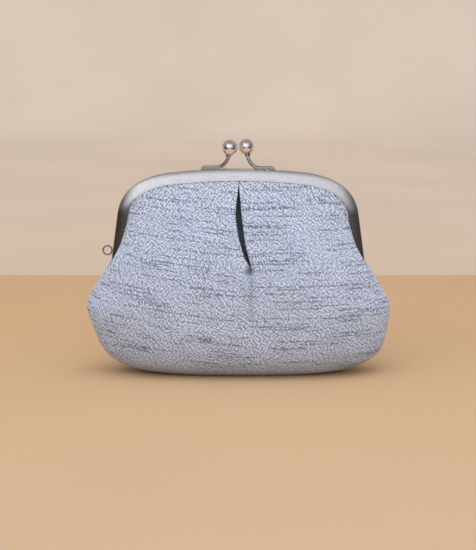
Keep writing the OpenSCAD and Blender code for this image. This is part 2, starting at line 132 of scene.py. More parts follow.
class Outline:
    """Right half of the frame's outer edge, as points of distance s from the middle."""

    def __init__(self, sizes):
        half_w = sizes.frame_w / 2
        reach_x = half_w - SHOULDER_R * (math.sin(SHOULDER_TURN) - math.sin(ARCH_TURN)) \
            - CORNER_R * (math.sin(CORNER_TURN) - math.sin(SHOULDER_TURN))
        reach_z = sizes.frame_h - SHOULDER_R * (math.cos(ARCH_TURN) - math.cos(SHOULDER_TURN)) \
            - CORNER_R * (math.cos(SHOULDER_TURN) - math.cos(CORNER_TURN))
        det = math.sin(ARCH_TURN) * math.cos(LEG_LEAN) \
            - math.sin(LEG_LEAN) * (1 - math.cos(ARCH_TURN))
        self.arch_r = (reach_x * math.cos(LEG_LEAN) - reach_z * math.sin(LEG_LEAN)) / det
        to_axis = (reach_z * math.sin(ARCH_TURN) - reach_x * (1 - math.cos(ARCH_TURN))) / det
        self.leg_l = to_axis - LEG_END / math.cos(LEG_LEAN)
        self.top_z = sizes.hinge_z + sizes.frame_h
        self.arch_c = np.array([0, self.top_z - self.arch_r])
        self.shoulder_c = self.arch_c + (self.arch_r - SHOULDER_R) * radial(ARCH_TURN)
        self.corner_c = self.shoulder_c + (SHOULDER_R - CORNER_R) * radial(SHOULDER_TURN)
        self.leg_top = self.corner_c + CORNER_R * radial(CORNER_TURN)
        self.arch_len = self.arch_r * ARCH_TURN
        self.shoulder_len = SHOULDER_R * (SHOULDER_TURN - ARCH_TURN)
        self.corner_len = CORNER_R * (CORNER_TURN - SHOULDER_TURN)
        self.before_leg = self.arch_len + self.shoulder_len + self.corner_len
        self.half_len = self.before_leg + self.leg_l

    def at(self, s, off):
        """Point at the distance s along the outline, moved inwards by off."""
        if s < self.arch_len:
            return self.arch_c + (self.arch_r - off) * radial(s / self.arch_r)
        s -= self.arch_len
        if s < self.shoulder_len:
            return self.shoulder_c + (SHOULDER_R - off) * radial(ARCH_TURN + s / SHOULDER_R)
        s -= self.shoulder_len
        if s < self.corner_len:
            return self.corner_c + (CORNER_R - off) * radial(SHOULDER_TURN + s / CORNER_R)
        s -= self.corner_len
        down = np.array([math.sin(LEG_LEAN), -math.cos(LEG_LEAN)])
        return self.leg_top + s * down - off * radial(CORNER_TURN)


# Shape of the cloth panels

CHANNEL_Y = 0.0037
BELLY_Z = 0.024
SIDE_Z = 0.025
SWAY = 0.0020
LEG_CLOTH_Z = 0.0513
SEAM_TOP_Z = 0.0500

# Side seam: half width by height
SEAM_Z = [0.0000, 0.0008, 0.0023, 0.0037, 0.0074, 0.0109, 0.0138, 0.0195, 0.0253, 0.0295,
          0.0325, 0.0350, 0.0383, 0.0440, 0.0484, 0.0500, 0.0513]
SEAM_X = [0.0330, 0.0440, 0.0515, 0.0563, 0.0632, 0.0660, 0.0676, 0.0694, 0.0708, 0.0718,
          0.0723, 0.0715, 0.0695, 0.0657, 0.0631, 0.0621, 0.0614]

# How far the cloth puffs out over the face of the leg, by height
PUFF_Z = [0.0513, 0.0530, 0.0577, 0.0625, 0.0685, 0.0720, 0.0760]
PUFF_OUT = [0.0060, 0.0054, 0.0038, 0.0020, 0.0005, 0.0000, -0.0003]

# Middle of the open tuck and its half width, by height
TUCK_Z = [0.0505, 0.0530, 0.0545, 0.0571, 0.0616, 0.0666, 0.0720, 0.0769, 0.0821, 0.0870, 0.0920]
TUCK_X = [0.0060, 0.0057, 0.0053, 0.0042, 0.0028, 0.0016, 0.0008, 0.0002, 0.0002, 0.0003, 0.0004]
TUCK_HALF = [0.0013, 0.0007, 0.0010, 0.0013, 0.0014, 0.0016, 0.0017, 0.0016, 0.0012, 0.0007,
             0.0003]

# Columns within the tuck, as shares of its half width, and how deep each lies: the outer
# cloth's fold is wider inside than at its lips, the lining's is a plain trough round it
FOLD_AT = [0, 1.5, 1.9, 1.55, 1.02, 1.12, 1.6]
FOLD_IN = [1, 0.93, 0.62, 0.26, 0.07, 0.015, 0]
TROUGH_AT = [0, 0.35, 0.6, 0.75, 0.9, 1.12, 1.6]
TROUGH_IN = [1, 0.97, 0.86, 0.6, 0.3, 0.08, 0]
TROUGH_HALF = 0.0050

# Where the outer cloth and the lining have to stay in front of the middle plane
CLOTH_ROOM = 0.0018
LINING_ROOM = 0.0008
LINING_TOP_Y = 0.0026

# Creases that run down from the tuck, in mm: where, half width and height outwards
CREASES = [(5.6, 2.4, -1.6), (10.6, 2.8, 0.7), (15.6, 2.6, -0.8), (-1.5, 4.0, 0.35)]

# Shade in the creases, in mm: where, half width, lowest height, and how strong
CREASE_SHADE = [(6.2, 1.9, 22, 0.16), (15.2, 1.5, 32, 0.12)]

# Rows of cloth within the rail's channel: distance from the lip, and half depth
CHANNEL_ROWS = [(0.0005, 0.00360), (0.0018, 0.00328), (0.0030, 0.00286)]
LINING_CHANNEL_Y = 0.0024

# Points of each row's end, turned round the side to the seam or over the leg's lip
END_POINTS = 5


def blurred(values, reach):
    """The same row of values, each the mean of its neighbours within reach, twice over."""
    ends = np.pad(values, 2 * reach, mode="edge")
    kernel = np.ones(2 * reach + 1) / (2 * reach + 1)
    return np.convolve(np.convolve(ends, kernel, "valid"), kernel, "valid")


def depth_at(z, exit_z, belly):
    """Half depth of the pouch at a height, in its middle."""
    if z < BELLY_Z:
        soft = (BELLY_Z - z) / (BELLY_Z + 0.0006)
        return belly * (1 - soft ** 2.5) ** 0.4
    share = min(1.0, (exit_z - z) / (exit_z - BELLY_Z))
    return CHANNEL_Y + (belly - CHANNEL_Y) * math.sin(math.pi / 2 * max(0.0, share))


SEAM_STEP = 0.00025
seam_fine_z = np.arange(0, SEAM_Z[-1] + SEAM_STEP, SEAM_STEP)
seam_fine_x = np.interp(seam_fine_z, SEAM_Z, SEAM_X)
seam_edge = np.where(seam_fine_z < 0.004, seam_fine_x, blurred(seam_fine_x, 5))
seam_soft = np.where(seam_fine_z < 0.010, seam_fine_x, blurred(seam_fine_x, 26))


def seam_x(z, sizes):
    """Half width of the side seam at a height."""
    return float(np.interp(z, seam_fine_z, seam_edge)) * sizes.corner_x / max(SEAM_X)


def soft_x(z, sizes):
    """The same with its corner smoothed out, for the cloth away from the seam."""
    return float(np.interp(z, seam_fine_z, seam_soft)) * sizes.corner_x / max(SEAM_X)


def smooth(t):
    t = min(1.0, max(0.0, t))
    return t * t * (3 - 2 * t)


class Panel:
    """One half of the pouch's skin, inset by a from the outer surface."""

    def __init__(self, sizes, inset, cols, rows_low, rows_high, lining):
        self.sizes = sizes
        self.a = inset
        self.lining = lining
        self.outline = Outline(sizes)
        o = self.outline
        lip = sizes.rail_face
        self.corner_s = o.arch_len + o.shoulder_len + 0.5 * o.corner_len
        along = np.linspace(0, self.corner_s, 80)
        top = np.array([o.at(s, lip + 0.0003) for s in along])
        self.top_s, self.top = along, top
        down = np.linspace(self.corner_s, o.half_len, 60)
        side = np.array([o.at(s, lip) for s in down])[::-1]
        self.side_z, self.side_x = side[:, 1], side[:, 0]
        self.corner_zc = float(side[-1, 1])
        k = np.linspace(0, 1, cols + 1)[1:]
        self.wide = np.sin(k * math.pi / 2) * 0.55 + k * 0.45
        self.rows_low = rows_low
        self.rows_high = rows_high

    def lip_x(self, z):
        return float(np.interp(z, self.side_z, self.side_x))

    def top_point(self, share):
        s = share * self.corner_s
        return (float(np.interp(s, self.top_s, self.top[:, 0])),
                float(np.interp(s, self.top_s, self.top[:, 1])))

    def puff(self, z):
        out = float(np.interp(z, PUFF_Z, PUFF_OUT))
        return min(out, -0.0004) if self.lining else out

    def side_y(self, z):
        """Half depth of the pouch's side, where it passes its widest point."""
        if z <= SEAM_TOP_Z:
            return 0.0056 * smooth((z - 0.036) / (LEG_CLOTH_Z - 0.036))
        if self.lining:
            return 0.0025 + 0.002 * (1 - smooth((z - LEG_CLOTH_Z) / 0.006))
        out = self.puff(z)
        return float(np.interp(out, [-0.0003, 0, 0.0005, 0.002, 0.004, 0.006],
                               [0.0037, 0.0042, 0.00495, 0.0052, 0.0055, 0.0058]))

    def tuck(self, z):
        """Middle, half width and depth of the fold at a height."""
        middle = float(np.interp(z, TUCK_Z, TUCK_X))
        half = TROUGH_HALF if self.lining else float(np.interp(z, TUCK_Z, TUCK_HALF))
        opened = smooth((z - 0.0515) / 0.005) * smooth((0.0985 - z) / 0.004)
        return middle, half, self.sizes.tuck_depth * opened

    def column(self, z, edge, soft, j):
        """Distance from the middle of column j, on the right half, and its share of the tuck."""
        half, depth = self.tuck(z)[1:]
        if j < len(FOLD_AT):
            if self.lining:
                return half * TROUGH_AT[j], depth * TROUGH_IN[j]
            opened = depth / self.sizes.tuck_depth
            at = TROUGH_AT[j] + (FOLD_AT[j] - TROUGH_AT[j]) * opened
            return half * at, depth * FOLD_IN[j]
        inner = half * (TROUGH_AT[-1] if self.lining else FOLD_AT[-1])
        w = self.wide[j - len(FOLD_AT)]
        reach = soft + (edge - soft) * w ** 6
        return inner + (reach - inner) * w, 0.0

    def lifted(self, z):
        """Height of a point of this layer, which lies by its inset higher at the base."""
        return self.a + z * (1 - self.a / SIDE_Z) if z < SIDE_Z else z

    def point(self, x_flat, fold, t, z_side, edge, y_side):
        """A point at the distance x_flat from the middle of a row, folded in by fold; t is the
        row's way up from the hinge to the rail."""
        share = min(1.0, max(-1.0, x_flat / edge))
        top_x, exit_z = self.top_point(abs(share))
        x, z = x_flat, z_side
        if t > 0:
            near_top = t ** 1.6
            x = x_flat * (1 - near_top) + math.copysign(top_x, share) * near_top
            z = LEG_CLOTH_Z + (exit_z - LEG_CLOTH_Z) * t
        depth = depth_at(z, exit_z, self.sizes.belly) - self.a
        if self.lining and t > 0:
            depth = max(depth, LINING_TOP_Y)
        body = max(0.0, 1 - abs(share) ** 3) ** 0.6
        y = y_side + max(0.0, depth - y_side) * body
        y += self.ripple(x, z) * body * smooth((exit_z - z) / 0.012)
        room = LINING_ROOM if self.lining else CLOTH_ROOM
        y -= fold * min(1.0, max(0.0, y - room) / self.sizes.tuck_depth)
        return x, -y, self.lifted(z)

    def row(self, index):
        """Points of one row, from the left end to the right one."""
        if index < len(self.rows_low):
            t = 0.0
            z_side = z_mid = self.rows_low[index]
            edge = seam_x(z_side, self.sizes) - self.a
            soft = soft_x(z_side, self.sizes) - self.a
            y_side = max(0.0, self.side_y(z_side) - self.a)
        else:
            t = self.rows_high[index - len(self.rows_low)]
            z_side = LEG_CLOTH_Z + (self.corner_zc - LEG_CLOTH_Z) * t
            z_mid = LEG_CLOTH_Z + (self.top_point(0)[1] - LEG_CLOTH_Z) * t
            edge = self.lip_x(z_side) + self.puff(z_side) - (0.0002 if self.lining else 0.0)
            soft = edge
            y_side = max(0.0, self.side_y(z_side))
        middle = self.tuck(z_mid)[0]
        halves = []
        for sign in (-1, 1):
            half = []
            for j in range(len(FOLD_AT) + len(self.wide)):
                dist, fold = self.column(z_mid, edge - sign * middle, soft - sign * middle, j)
                half.append(self.point(middle + sign * dist, fold, t, z_side, edge, y_side))
            half += [(sign * x, -y, z) for x, y, z in self.returns(index, z_side, edge, y_side)]
            halves.append(half)
        left, right = halves
        return left[:0:-1] + right

    def returns(self, index, z, edge, y_side):
        """The edge's way back: round the side to the seam, or over the leg's lip."""
        if index < len(self.rows_low):
            return [(x, y, self.lifted(z)) for x, y in (
                (edge + 0.05 * y_side, 0.66 * y_side), (edge, 0.33 * y_side),
                (edge - 0.0001, 0.00005), (edge - 0.0006, 0.00025), (edge - 0.0011, 0.00025))]
        lip = self.lip_x(z)
        if self.lining:
            return [(lip + d, LINING_CHANNEL_Y, z)
                    for d in (-0.0002, 0.0002, 0.0006, 0.0010, 0.0014)]
        over = edge - lip
        full = smooth((over + 0.0003) / 0.0008)
        plain = [(lip - 0.0002, 0.0037), (lip - 0.0001, 0.0036), (lip + 0.0002, 0.0035),
                 (lip + 0.0006, 0.0034), (lip + 0.0012, 0.0033)]
        puffed = [(lip + 0.80 * over, y_side - 0.80 * (y_side - 0.0047)),
                  (lip + 0.25 * over, 0.0047), (lip - 0.0002, 0.0044),
                  (lip - 0.00025, 0.0036), (lip + 0.0012, 0.0033)]
        return [(p[0] * (1 - full) + q[0] * full, p[1] * (1 - full) + q[1] * full, z)
                for p, q in zip(plain, puffed)]

    def ripple(self, x, z):
        """Soft unevenness of the cloth, with the dimple and the creases below the tuck."""
        mx, mz = x / MM, z / MM
        wave = 0.16 * math.sin(mx / 7.3 + mz / 11.0 + 0.4) + 0.13 * math.sin(mx / 4.1 - mz / 9.0)
        wave += 0.22 * math.sin(mz / 8.7 + mx / 19.0 + 1.1)
        below = smooth((mz - 22) / 10) * smooth((60 - mz) / 8)
        wave += below * sum(height * math.exp(-((mx - at) / wide) ** 2)
                            for at, wide, height in CREASES)
        wave -= 1.2 * math.exp(-((mx - 5.6) / 1.9) ** 2 - ((mz - 51.6) / 1.7) ** 2)
        lip = smooth((mz - 50) / 12)
        wave += 0.35 * lip * (math.exp(-((mx - 4.2) / 3.0) ** 2)
                              + math.exp(-((mx + 3.2) / 3.0) ** 2))
        return wave * MM * (0.9 if self.lining else 1.0) * smooth(mz / 9)


def low_rows(step):
    """Heights of the rows of the lower pouch, closer together at the rounded base."""
    k = np.linspace(0, 1, max(6, int(0.022 / step)))
    base = SIDE_Z * (0.12 * k + 0.88 * k ** 2)
    up = np.linspace(SIDE_Z, SEAM_TOP_Z, max(5, int(0.024 / step)) + 1)[1:]
    return list(base) + list(up)


def channel_row(panel, last, off, y):
    """A row within the rail's channel, at the distance off from its lip, above the last row."""
    lip = panel.sizes.rail_face
    widest = max(abs(p[0]) for p in last)
    line = []
    for k, (x, _, _) in enumerate(last):
        from_end = min(k, len(last) - 1 - k)
        if from_end < END_POINTS:
            at_x, at_z = panel.outline.at(panel.corner_s, lip - off)
            at_x += 0.0001 * (END_POINTS - from_end)
        else:
            share = min(1.0, abs(x) / widest)
            at_x, at_z = panel.outline.at(share * panel.corner_s, lip - off)
        line.append((math.copysign(at_x, x), -(LINING_CHANNEL_Y if panel.lining else y), at_z))
    return line


def fold_shade(panel, points):
    """How far each point lies within a fold or crease, from 0 to 1, which the cloth's material
    turns into painted shade.
    """
    shade = np.zeros(points.shape[:2])
    if panel.lining:
        return shade
    centre = points.shape[1] // 2
    for r in range(points.shape[0]):
        opened = panel.tuck(points[r, centre, 2])[2] / panel.sizes.tuck_depth
        for j, inside in enumerate(FOLD_IN):
            shade[r, centre - j] = shade[r, centre + j] = opened * inside
    x, z = points[:, :, 0] / MM, points[:, :, 2] / MM
    # Painted shadow in the dimple at the lower end of the tuck
    shade += 0.42 * np.exp(-(((x - 5.4) / 2.2) ** 2 + ((z - 51.4) / 2.1) ** 2) ** 2)
    # Painted shade along the creases below the tuck
    for at, wide, low, strong in CREASE_SHADE:
        shade += strong * np.exp(-((x - at) / wide) ** 2) \
            * np.clip((z - low) / 10, 0, 1) * np.clip((52 - z) / 4, 0, 1)
    return shade


def panel_points(panel):
    """All points of a panel, row by row from the middle of the base to the channel, and the
    shade of each."""
    first = panel.row(0)
    rows = [[(x, y * share - (0.00004 if share == 0 else 0), z) for x, y, z in first]
            for share in (0.0, 0.35, 0.7)]
    rows += [panel.row(i) for i in range(len(panel.rows_low) + len(panel.rows_high))]
    last = rows[-1]
    rows += [channel_row(panel, last, off, y) for off, y in CHANNEL_ROWS]
    points = np.array(rows)
    return points, fold_shade(panel, points)


# Tools

def only(obj):
    bpy.ops.object.select_all(action="DESELECT")
    obj.select_set(True)
    bpy.context.view_layer.objects.active = obj


def apply_modifiers(obj):
    only(obj)
    for m in list(obj.modifiers):
        bpy.ops.object.modifier_apply(modifier=m.name)


def grid_piece(name, points, shade, thickness, weave_uv):
    """A sheet of cloth from a grid of points, given its thickness inwards."""
    rows, cols = points.shape[:2]
    bpy.ops.object.select_all(action="DESELECT")
    bpy.ops.mesh.primitive_grid_add(
        x_subdivisions=cols - 1, y_subdivisions=rows - 1, size=2, calc_uvs=True)
    obj = bpy.context.object
    obj.name = name
    obj.data.name = name
    n = len(obj.data.vertices)
    flat = np.zeros(n * 3)
    obj.data.vertices.foreach_get("co", flat)
    flat = flat.reshape(-1, 3)
    ci = cols - 1 - np.rint((flat[:, 0] + 1) / 2 * (cols - 1)).astype(int)
    ri = np.rint((flat[:, 1] + 1) / 2 * (rows - 1)).astype(int)
    obj.data.vertices.foreach_set("co", points[ri, ci].ravel())
    uv = weave_uv[ri, ci]
    layer = obj.data.uv_layers.active
    for loop in obj.data.loops:
        layer.data[loop.index].uv = uv[loop.vertex_index]
    # Painted shade of the folds, the dimple and the creases, for the cloth's material
    inside = obj.data.attributes.new("fold", "FLOAT", "POINT")
    inside.data.foreach_set("value", shade[ri, ci].astype(np.float32))
    obj.data.update()
    solid = obj.modifiers.new("Thickness", "SOLIDIFY")
    solid.thickness = thickness
    solid.offset = -1
    fine = obj.modifiers.new("Fine", "SUBSURF")
    fine.levels = fine.render_levels = 1
    apply_modifiers(obj)
    bpy.ops.object.shade_smooth()
    return obj


def weave_map(points, centre):
    """UV in metres along the cloth: u across from the middle, v up. The weft runs level on the
    right and drops towards the middle on the left."""
    rows, cols = points.shape[:2]
    across = np.zeros((rows, cols))
    step = np.linalg.norm(np.diff(points, axis=1), axis=2)
    across[:, 1:] = np.cumsum(step, axis=1)
    across -= across[:, centre][:, None]
    own = np.zeros((rows, cols))
    own[1:] = np.cumsum(np.linalg.norm(np.diff(points, axis=0), axis=2), axis=0)
    z = points[:, :, 2]
    side = centre + len(FOLD_AT) + 1
    first = int(np.argmax(z[:, side] > 0.006))
    level = np.interp(z, z[first:-3, side], own[first:-3, side])
    base = own - own[first] + own[first, side]
    up = np.where(np.arange(rows)[:, None] >= first, level, base)
    lean = np.where(points[:, :, 0] < 0, 0.13, 0.0)
    return np.stack([across, up - lean * np.abs(points[:, :, 0])], axis=2)


def turned_copy(obj, name):
    """The same piece for the rear, turned half a turn, with its own mesh."""
    only(obj)
    bpy.ops.object.duplicate()
    twin = bpy.context.object
    twin.name = name
    twin.data.name = name
    twin.rotation_euler = (0, 0, math.pi)
    bpy.ops.object.transform_apply(location=False, rotation=True, scale=False)
    return twin


def sway(obj):
    """The full pouch has settled a little to one side, flat on what it stands on."""
    for v in obj.data.vertices:
        v.co.z = max(v.co.z, 0.0)
        v.co.x += SWAY * (1 - smooth((v.co.z - 0.010) / 0.026))


def bend_with(obj, hinge_z):
    """Bakes the piece's place into its mesh, and works out for each point a share that grows with
    its angle from straight down below the hinge; nothing uses the share.
    """
    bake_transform(obj)
    co = np.zeros(len(obj.data.vertices) * 3)
    obj.data.vertices.foreach_get("co", co)
    co = co.reshape(-1, 3)
    angle = np.degrees(np.arctan2(np.abs(co[:, 1]), hinge_z - co[:, 2]))
    t = np.clip((angle - 4) / (134 - 4), 0, 1)
    weight = t * t * (3 - 2 * t)
    weight[co[:, 2] > 0.0725] = 1.0


# Materials

def new_material(name):
    mat = bpy.data.materials.new(name)
    mat.use_nodes = True
    tree = mat.node_tree
    shader = tree.nodes["Principled BSDF"]
    return mat, tree, shader


def node(tree, kind, **values):
    n = tree.nodes.new(kind)
    for key, value in values.items():
        if key in n.inputs:
            n.inputs[key].default_value = value
        else:
            setattr(n, key, value)
    return n


def math_node(tree, operation, a, b=None, clamp=False):
    n = tree.nodes.new("ShaderNodeMath")
    n.operation = operation
    n.use_clamp = clamp
    for i, value in enumerate((a, b)):
        if value is None:
            continue
        if hasattr(value, "links"):
            tree.links.new(value, n.inputs[i])
        else:
            n.inputs[i].default_value = value
    return n.outputs[0]


def plus(tree, a, b, clamp=False):
    return math_node(tree, "ADD", a, b, clamp)


def minus(tree, a, b, clamp=False):
    return math_node(tree, "SUBTRACT", a, b, clamp)


def times(tree, a, b, clamp=False):
    return math_node(tree, "MULTIPLY", a, b, clamp)


def parts_of(tree, source):
    """The x, y and z outputs of a vector."""
    n = node(tree, "ShaderNodeSeparateXYZ")
    tree.links.new(source, n.inputs[0])
    return n.outputs


def joined(tree, *values):
    """A vector of numbers or outputs."""
    n = node(tree, "ShaderNodeCombineXYZ")
    for socket, value in zip(n.inputs, values):
        if hasattr(value, "links"):
            tree.links.new(value, socket)
        else:
            socket.default_value = value
    return n.outputs[0]


def bump(tree, shader, height, strength, distance):
    n = node(tree, "ShaderNodeBump", Strength=strength, Distance=distance)
    tree.links.new(height, n.inputs["Height"])
    tree.links.new(n.outputs["Normal"], shader.inputs["Normal"])


def scaled(tree, source, scale):
    n = node(tree, "ShaderNodeMapping")
    n.inputs["Scale"].default_value = scale
    tree.links.new(source, n.inputs["Vector"])
    return n.outputs["Vector"]


def noise(tree, vector, scale=1.0, detail=2.0, rough=0.5):
    n = node(tree, "ShaderNodeTexNoise", Scale=scale, Detail=detail, Roughness=rough)
    tree.links.new(vector, n.inputs["Vector"])
    return n.outputs["Fac"]


def ramp(tree, source, stops):
    n = tree.nodes.new("ShaderNodeValToRGB")
    n.color_ramp.elements[0].position = stops[0][0]
    n.color_ramp.elements[0].color = (*stops[0][1], 1)
    n.color_ramp.elements[1].position = stops[-1][0]
    n.color_ramp.elements[1].color = (*stops[-1][1], 1)
    for at, colour in stops[1:-1]:
        n.color_ramp.elements.new(at).color = (*colour, 1)
    tree.links.new(source, n.inputs["Fac"])
    return n.outputs["Color"]


def mix(tree, factor, a, b, blend="MIX"):
    n = tree.nodes.new("ShaderNodeMix")
    n.data_type = "RGBA"
    n.blend_type = blend
    for socket, value in ((n.inputs["Factor"], factor), (n.inputs["A"], a), (n.inputs["B"], b)):
        if hasattr(value, "links"):
            tree.links.new(value, socket)
        elif isinstance(value, (int, float)):
            socket.default_value = value
        else:
            socket.default_value = (*value, 1)
    return n.outputs["Result"]


def grey(v):
    return (v, v, v)


def woven(name, base, dark, pitch, slub, contrast):
    """Plain weave on the cloth's own UV: pale warp over darker weft, thread by thread, with
    dark slub lengths in single weft threads, seen as rows of dots between the warp."""
    mat, tree, shader = new_material(name)
    uv = node(tree, "ShaderNodeUVMap").outputs["UV"]

    # Which warp and weft thread a point lies on, and which of the two is on top there
    wander = times(tree, noise(tree, scaled(tree, uv, (160, 160, 1)), 1.0, 1.0), 0.7)
    threads = parts_of(tree, scaled(tree, uv, (1 / pitch, 1 / pitch, 1)))
    across = plus(tree, threads[0], wander)
    up = plus(tree, threads[1], wander)
    warp_no = math_node(tree, "FLOOR", across)
    weft_no = math_node(tree, "FLOOR", up)
    pair = math_node(tree, "FRACT", times(tree, plus(tree, warp_no, weft_no), 0.5))
    weft_top = math_node(tree, "GREATER_THAN", pair, 0.25)

    def crossing(a, b, seed=0.0):
        """A random number for each crossing of two threads"""
        n = node(tree, "ShaderNodeTexWhiteNoise", noise_dimensions="3D")
        tree.links.new(joined(tree, a, b, seed), n.inputs["Vector"])
        return n.outputs["Value"]

    # Each crossing differs from its neighbours, so that no lighter or darker blots form
    beside = plus(tree, crossing(plus(tree, warp_no, 1.0), weft_no),
                  crossing(warp_no, plus(tree, weft_no, 1.0)))
    speck = plus(tree, 0.5, minus(tree, crossing(warp_no, weft_no), times(tree, beside, 0.5)))

    # Long uneven rows, in bands, where single weft threads are dark
    row = noise(tree, joined(tree, times(tree, across, 0.017), times(tree, weft_no, 0.83), 3.0),
                1.0, 1.0)
    band = noise(tree, joined(tree, times(tree, across, 0.022), times(tree, up, 0.055), 7.0),
                 1.0, 1.5)
    row = plus(tree, times(tree, row, 0.82), times(tree, band, 0.16))
    slub_on = ramp(tree, row, [(0.560, grey(0)), (0.590, grey(slub))])
    slub_on = times(tree, slub_on, math_node(
        tree, "GREATER_THAN", crossing(warp_no, weft_no, 5.0), 0.16))

    # Tone of each warp and weft thread
    weft_own = noise(tree, joined(tree, times(tree, across, 0.05), times(tree, weft_no, 0.71),
                                  11.0), 1.0, 1.0)
    warp_own = noise(tree, joined(tree, times(tree, warp_no, 0.77), times(tree, up, 0.03), 17.0),
                     1.0, 1.0)
    cloud = times(tree, noise(tree, scaled(tree, uv, (60, 95, 1))), 0.26)

    def yarn(own, speck_share, own_share, mean):
        tone = plus(tree, plus(tree, times(tree, speck, speck_share),
                               times(tree, own, own_share)), cloud)
        return ramp(tree, tone, [
            (at, tuple(min(1.0, c * (mean + contrast * step)) for c in base))
            for at, step in ((0.30, -0.45), (0.62, 0), (0.92, 0.45))])

    warp = yarn(warp_own, 0.76, 0.20, 1.16)
    weft = mix(tree, slub_on, yarn(weft_own, 0.72, 0.24, 0.82), dark)
    warp = mix(tree, times(tree, slub_on, 0.16), warp, dark)
    colour = mix(tree, weft_top, warp, weft)

    def hump(value):
        return math_node(tree, "SINE", times(
            tree, math_node(tree, "FRACT", value), math.pi))

    # Painted shade: darker between the threads, in the weave's hollows, and within folds
    height = mix(tree, weft_top, hump(across), hump(up))
    painted_thread_shade = ramp(tree, height, [(0.0, grey(0.80)), (0.7, grey(1.0))])
    colour = mix(tree, 1.0, colour, painted_thread_shade, "MULTIPLY")
    # Painted shade in the tuck, the dimple and the creases, read from the fold attribute
    fold = node(tree, "ShaderNodeAttribute", attribute_name="fold").outputs["Fac"]
    painted_fold_shade = ramp(tree, fold, [(0.05, grey(1.0)), (0.5, grey(0.22))])
    tree.links.new(mix(tree, 1.0, colour, painted_fold_shade, "MULTIPLY"), shader.inputs["Base Color"])
    shader.inputs["Roughness"].default_value = 0.92
    shader.inputs["Specular IOR Level"].default_value = 0.18
    shader.inputs["Sheen Weight"].default_value = 0.08
    shader.inputs["Sheen Roughness"].default_value = 0.5
    bump(tree, shader, plus(tree, height, times(tree, speck, 0.5)), 0.4, pitch * 0.16)
    return mat


def plated(name, colour, rough, grain, stretch, leg_x=None):
    """Nickel plate with a drawn grain, slight stains and a little unevenness. The grain of a
    rail runs along the arch, and turns to run down its legs beyond leg_x."""
    mat, tree, shader = new_material(name)
    coords = node(tree, "ShaderNodeTexCoord").outputs["Object"]
    lines = noise(tree, scaled(tree, coords, stretch), 1.0, 2.0, 0.6)
    if leg_x:
        side = math_node(tree, "ABSOLUTE", parts_of(tree, coords)[0])
        turned = times(tree, minus(tree, side, leg_x), 150.0, True)
        upright = noise(tree, scaled(tree, coords, stretch[::-1]), 1.0, 2.0, 0.6)
        lines = mix(tree, turned, lines, upright)
    stain = noise(tree, scaled(tree, coords, (180, 180, 180)), 1.0, 3.0, 0.6)
    shade = plus(tree, times(tree, lines, 0.75), times(tree, stain, 0.25))
    darker = tuple(c * 0.93 for c in colour)
    brighter = tuple(min(1.0, c * 1.04) for c in colour)
    tree.links.new(ramp(tree, shade, [(0.35, darker), (0.65, brighter)]),
                   shader.inputs["Base Color"])
    spread = ramp(tree, shade, [(0.35, grey(rough * 1.25)), (0.65, grey(rough * 0.85))])
    tree.links.new(spread, shader.inputs["Roughness"])
    shader.inputs["Metallic"].default_value = 1.0
    bump(tree, shader, lines, grain, 0.00003)
    return mat


def paper_twist(name, colour):
    """Twisted paper: slanting plies and fibres."""
    mat, tree, shader = new_material(name)
    coords = node(tree, "ShaderNodeTexCoord").outputs["Object"]
    plies = node(tree, "ShaderNodeTexWave", wave_type="BANDS", bands_direction="DIAGONAL",
                 Scale=260.0, Distortion=1.5)
    tree.links.new(coords, plies.inputs["Vector"])
    fibre = noise(tree, scaled(tree, coords, (1500, 1500, 1500)), 1.0, 2.0)
    tone = plus(tree, times(tree, plies.outputs["Fac"], 0.5), times(tree, fibre, 0.5))
    tree.links.new(ramp(tree, tone, [(0.2, tuple(c * 0.7 for c in colour)), (0.8, colour)]),
                   shader.inputs["Base Color"])
    shader.inputs["Roughness"].default_value = 0.9
    bump(tree, shader, tone, 0.4, 0.0002)
    return mat


def stage_material(name, colour, fleck, far, start, length):
    """Paper with a fine fleck, that turns to colour times far over a length from start back:
    painted light or shade over its depth.
    """
    mat, tree, shader = new_material(name)
    coords = node(tree, "ShaderNodeTexCoord").outputs["Object"]
    back = times(tree, minus(tree, parts_of(tree, coords)[1], start), 1 / length, True)
    broad = noise(tree, scaled(tree, coords, (6, 6, 6)), 1.0, 3.0)
    fine = noise(tree, scaled(tree, coords, (700, 700, 700)), 1.0, 1.0)
    tone = plus(tree, times(tree, broad, 1 - fleck), times(tree, fine, fleck))
    paper = ramp(tree, tone, [(0.3, tuple(c * 0.95 for c in colour)),
                              (0.7, tuple(min(1, c * 1.04) for c in colour))])
    tree.links.new(mix(tree, 1.0, paper, mix(tree, back, grey(1), far), "MULTIPLY"),
                   shader.inputs["Base Color"])
    shader.inputs["Roughness"].default_value = 0.95
    shader.inputs["Specular IOR Level"].default_value = 0.1
    return mat


def dress(obj, mat):
    obj.data.materials.clear()
    obj.data.materials.append(mat)


def smooth_cad(name, angle):
    only(nodes[name])
    bpy.ops.object.shade_smooth_by_angle(angle=math.radians(angle))


# Operators, one for each group of pieces

class PURSE_OT_outer_cloth(bpy.types.Operator):
    """Makes the front and rear outer cloth, each one sheet from its rail to the seam"""

    bl_idname = "purse.outer_cloth"
    bl_label = "Outer Cloth"

    def execute(self, context):
        sizes = context.scene.purse_sizes
        colours = context.scene.purse_colours
        high = [k ** 0.92 for k in np.linspace(0, 1, 36)]
        panel = Panel(sizes, 0.0, 34, low_rows(0.00125), high, lining=False)
        points, shade = panel_points(panel)
        centre = points.shape[1] // 2
        cloth = woven("Slub Cotton", tuple(colours.cloth), tuple(colours.slub), 0.00064, 1.0,
                      1.15)
        front = grid_piece("front_cloth", points, shade, sizes.cloth_t, weave_map(points, centre))
        dress(front, cloth)
        rear = turned_copy(front, "rear_cloth")
        for obj, side in ((front, "front"), (rear, "rear")):
            sway(obj)
            bend_with(obj, sizes.hinge_z)
            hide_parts(side + "_cloth_upper", side + "_cloth_lower")
            for part in ("_cloth_upper", "_cloth_lower"):
                dress(nodes[side + part], cloth)
        return {"FINISHED"}


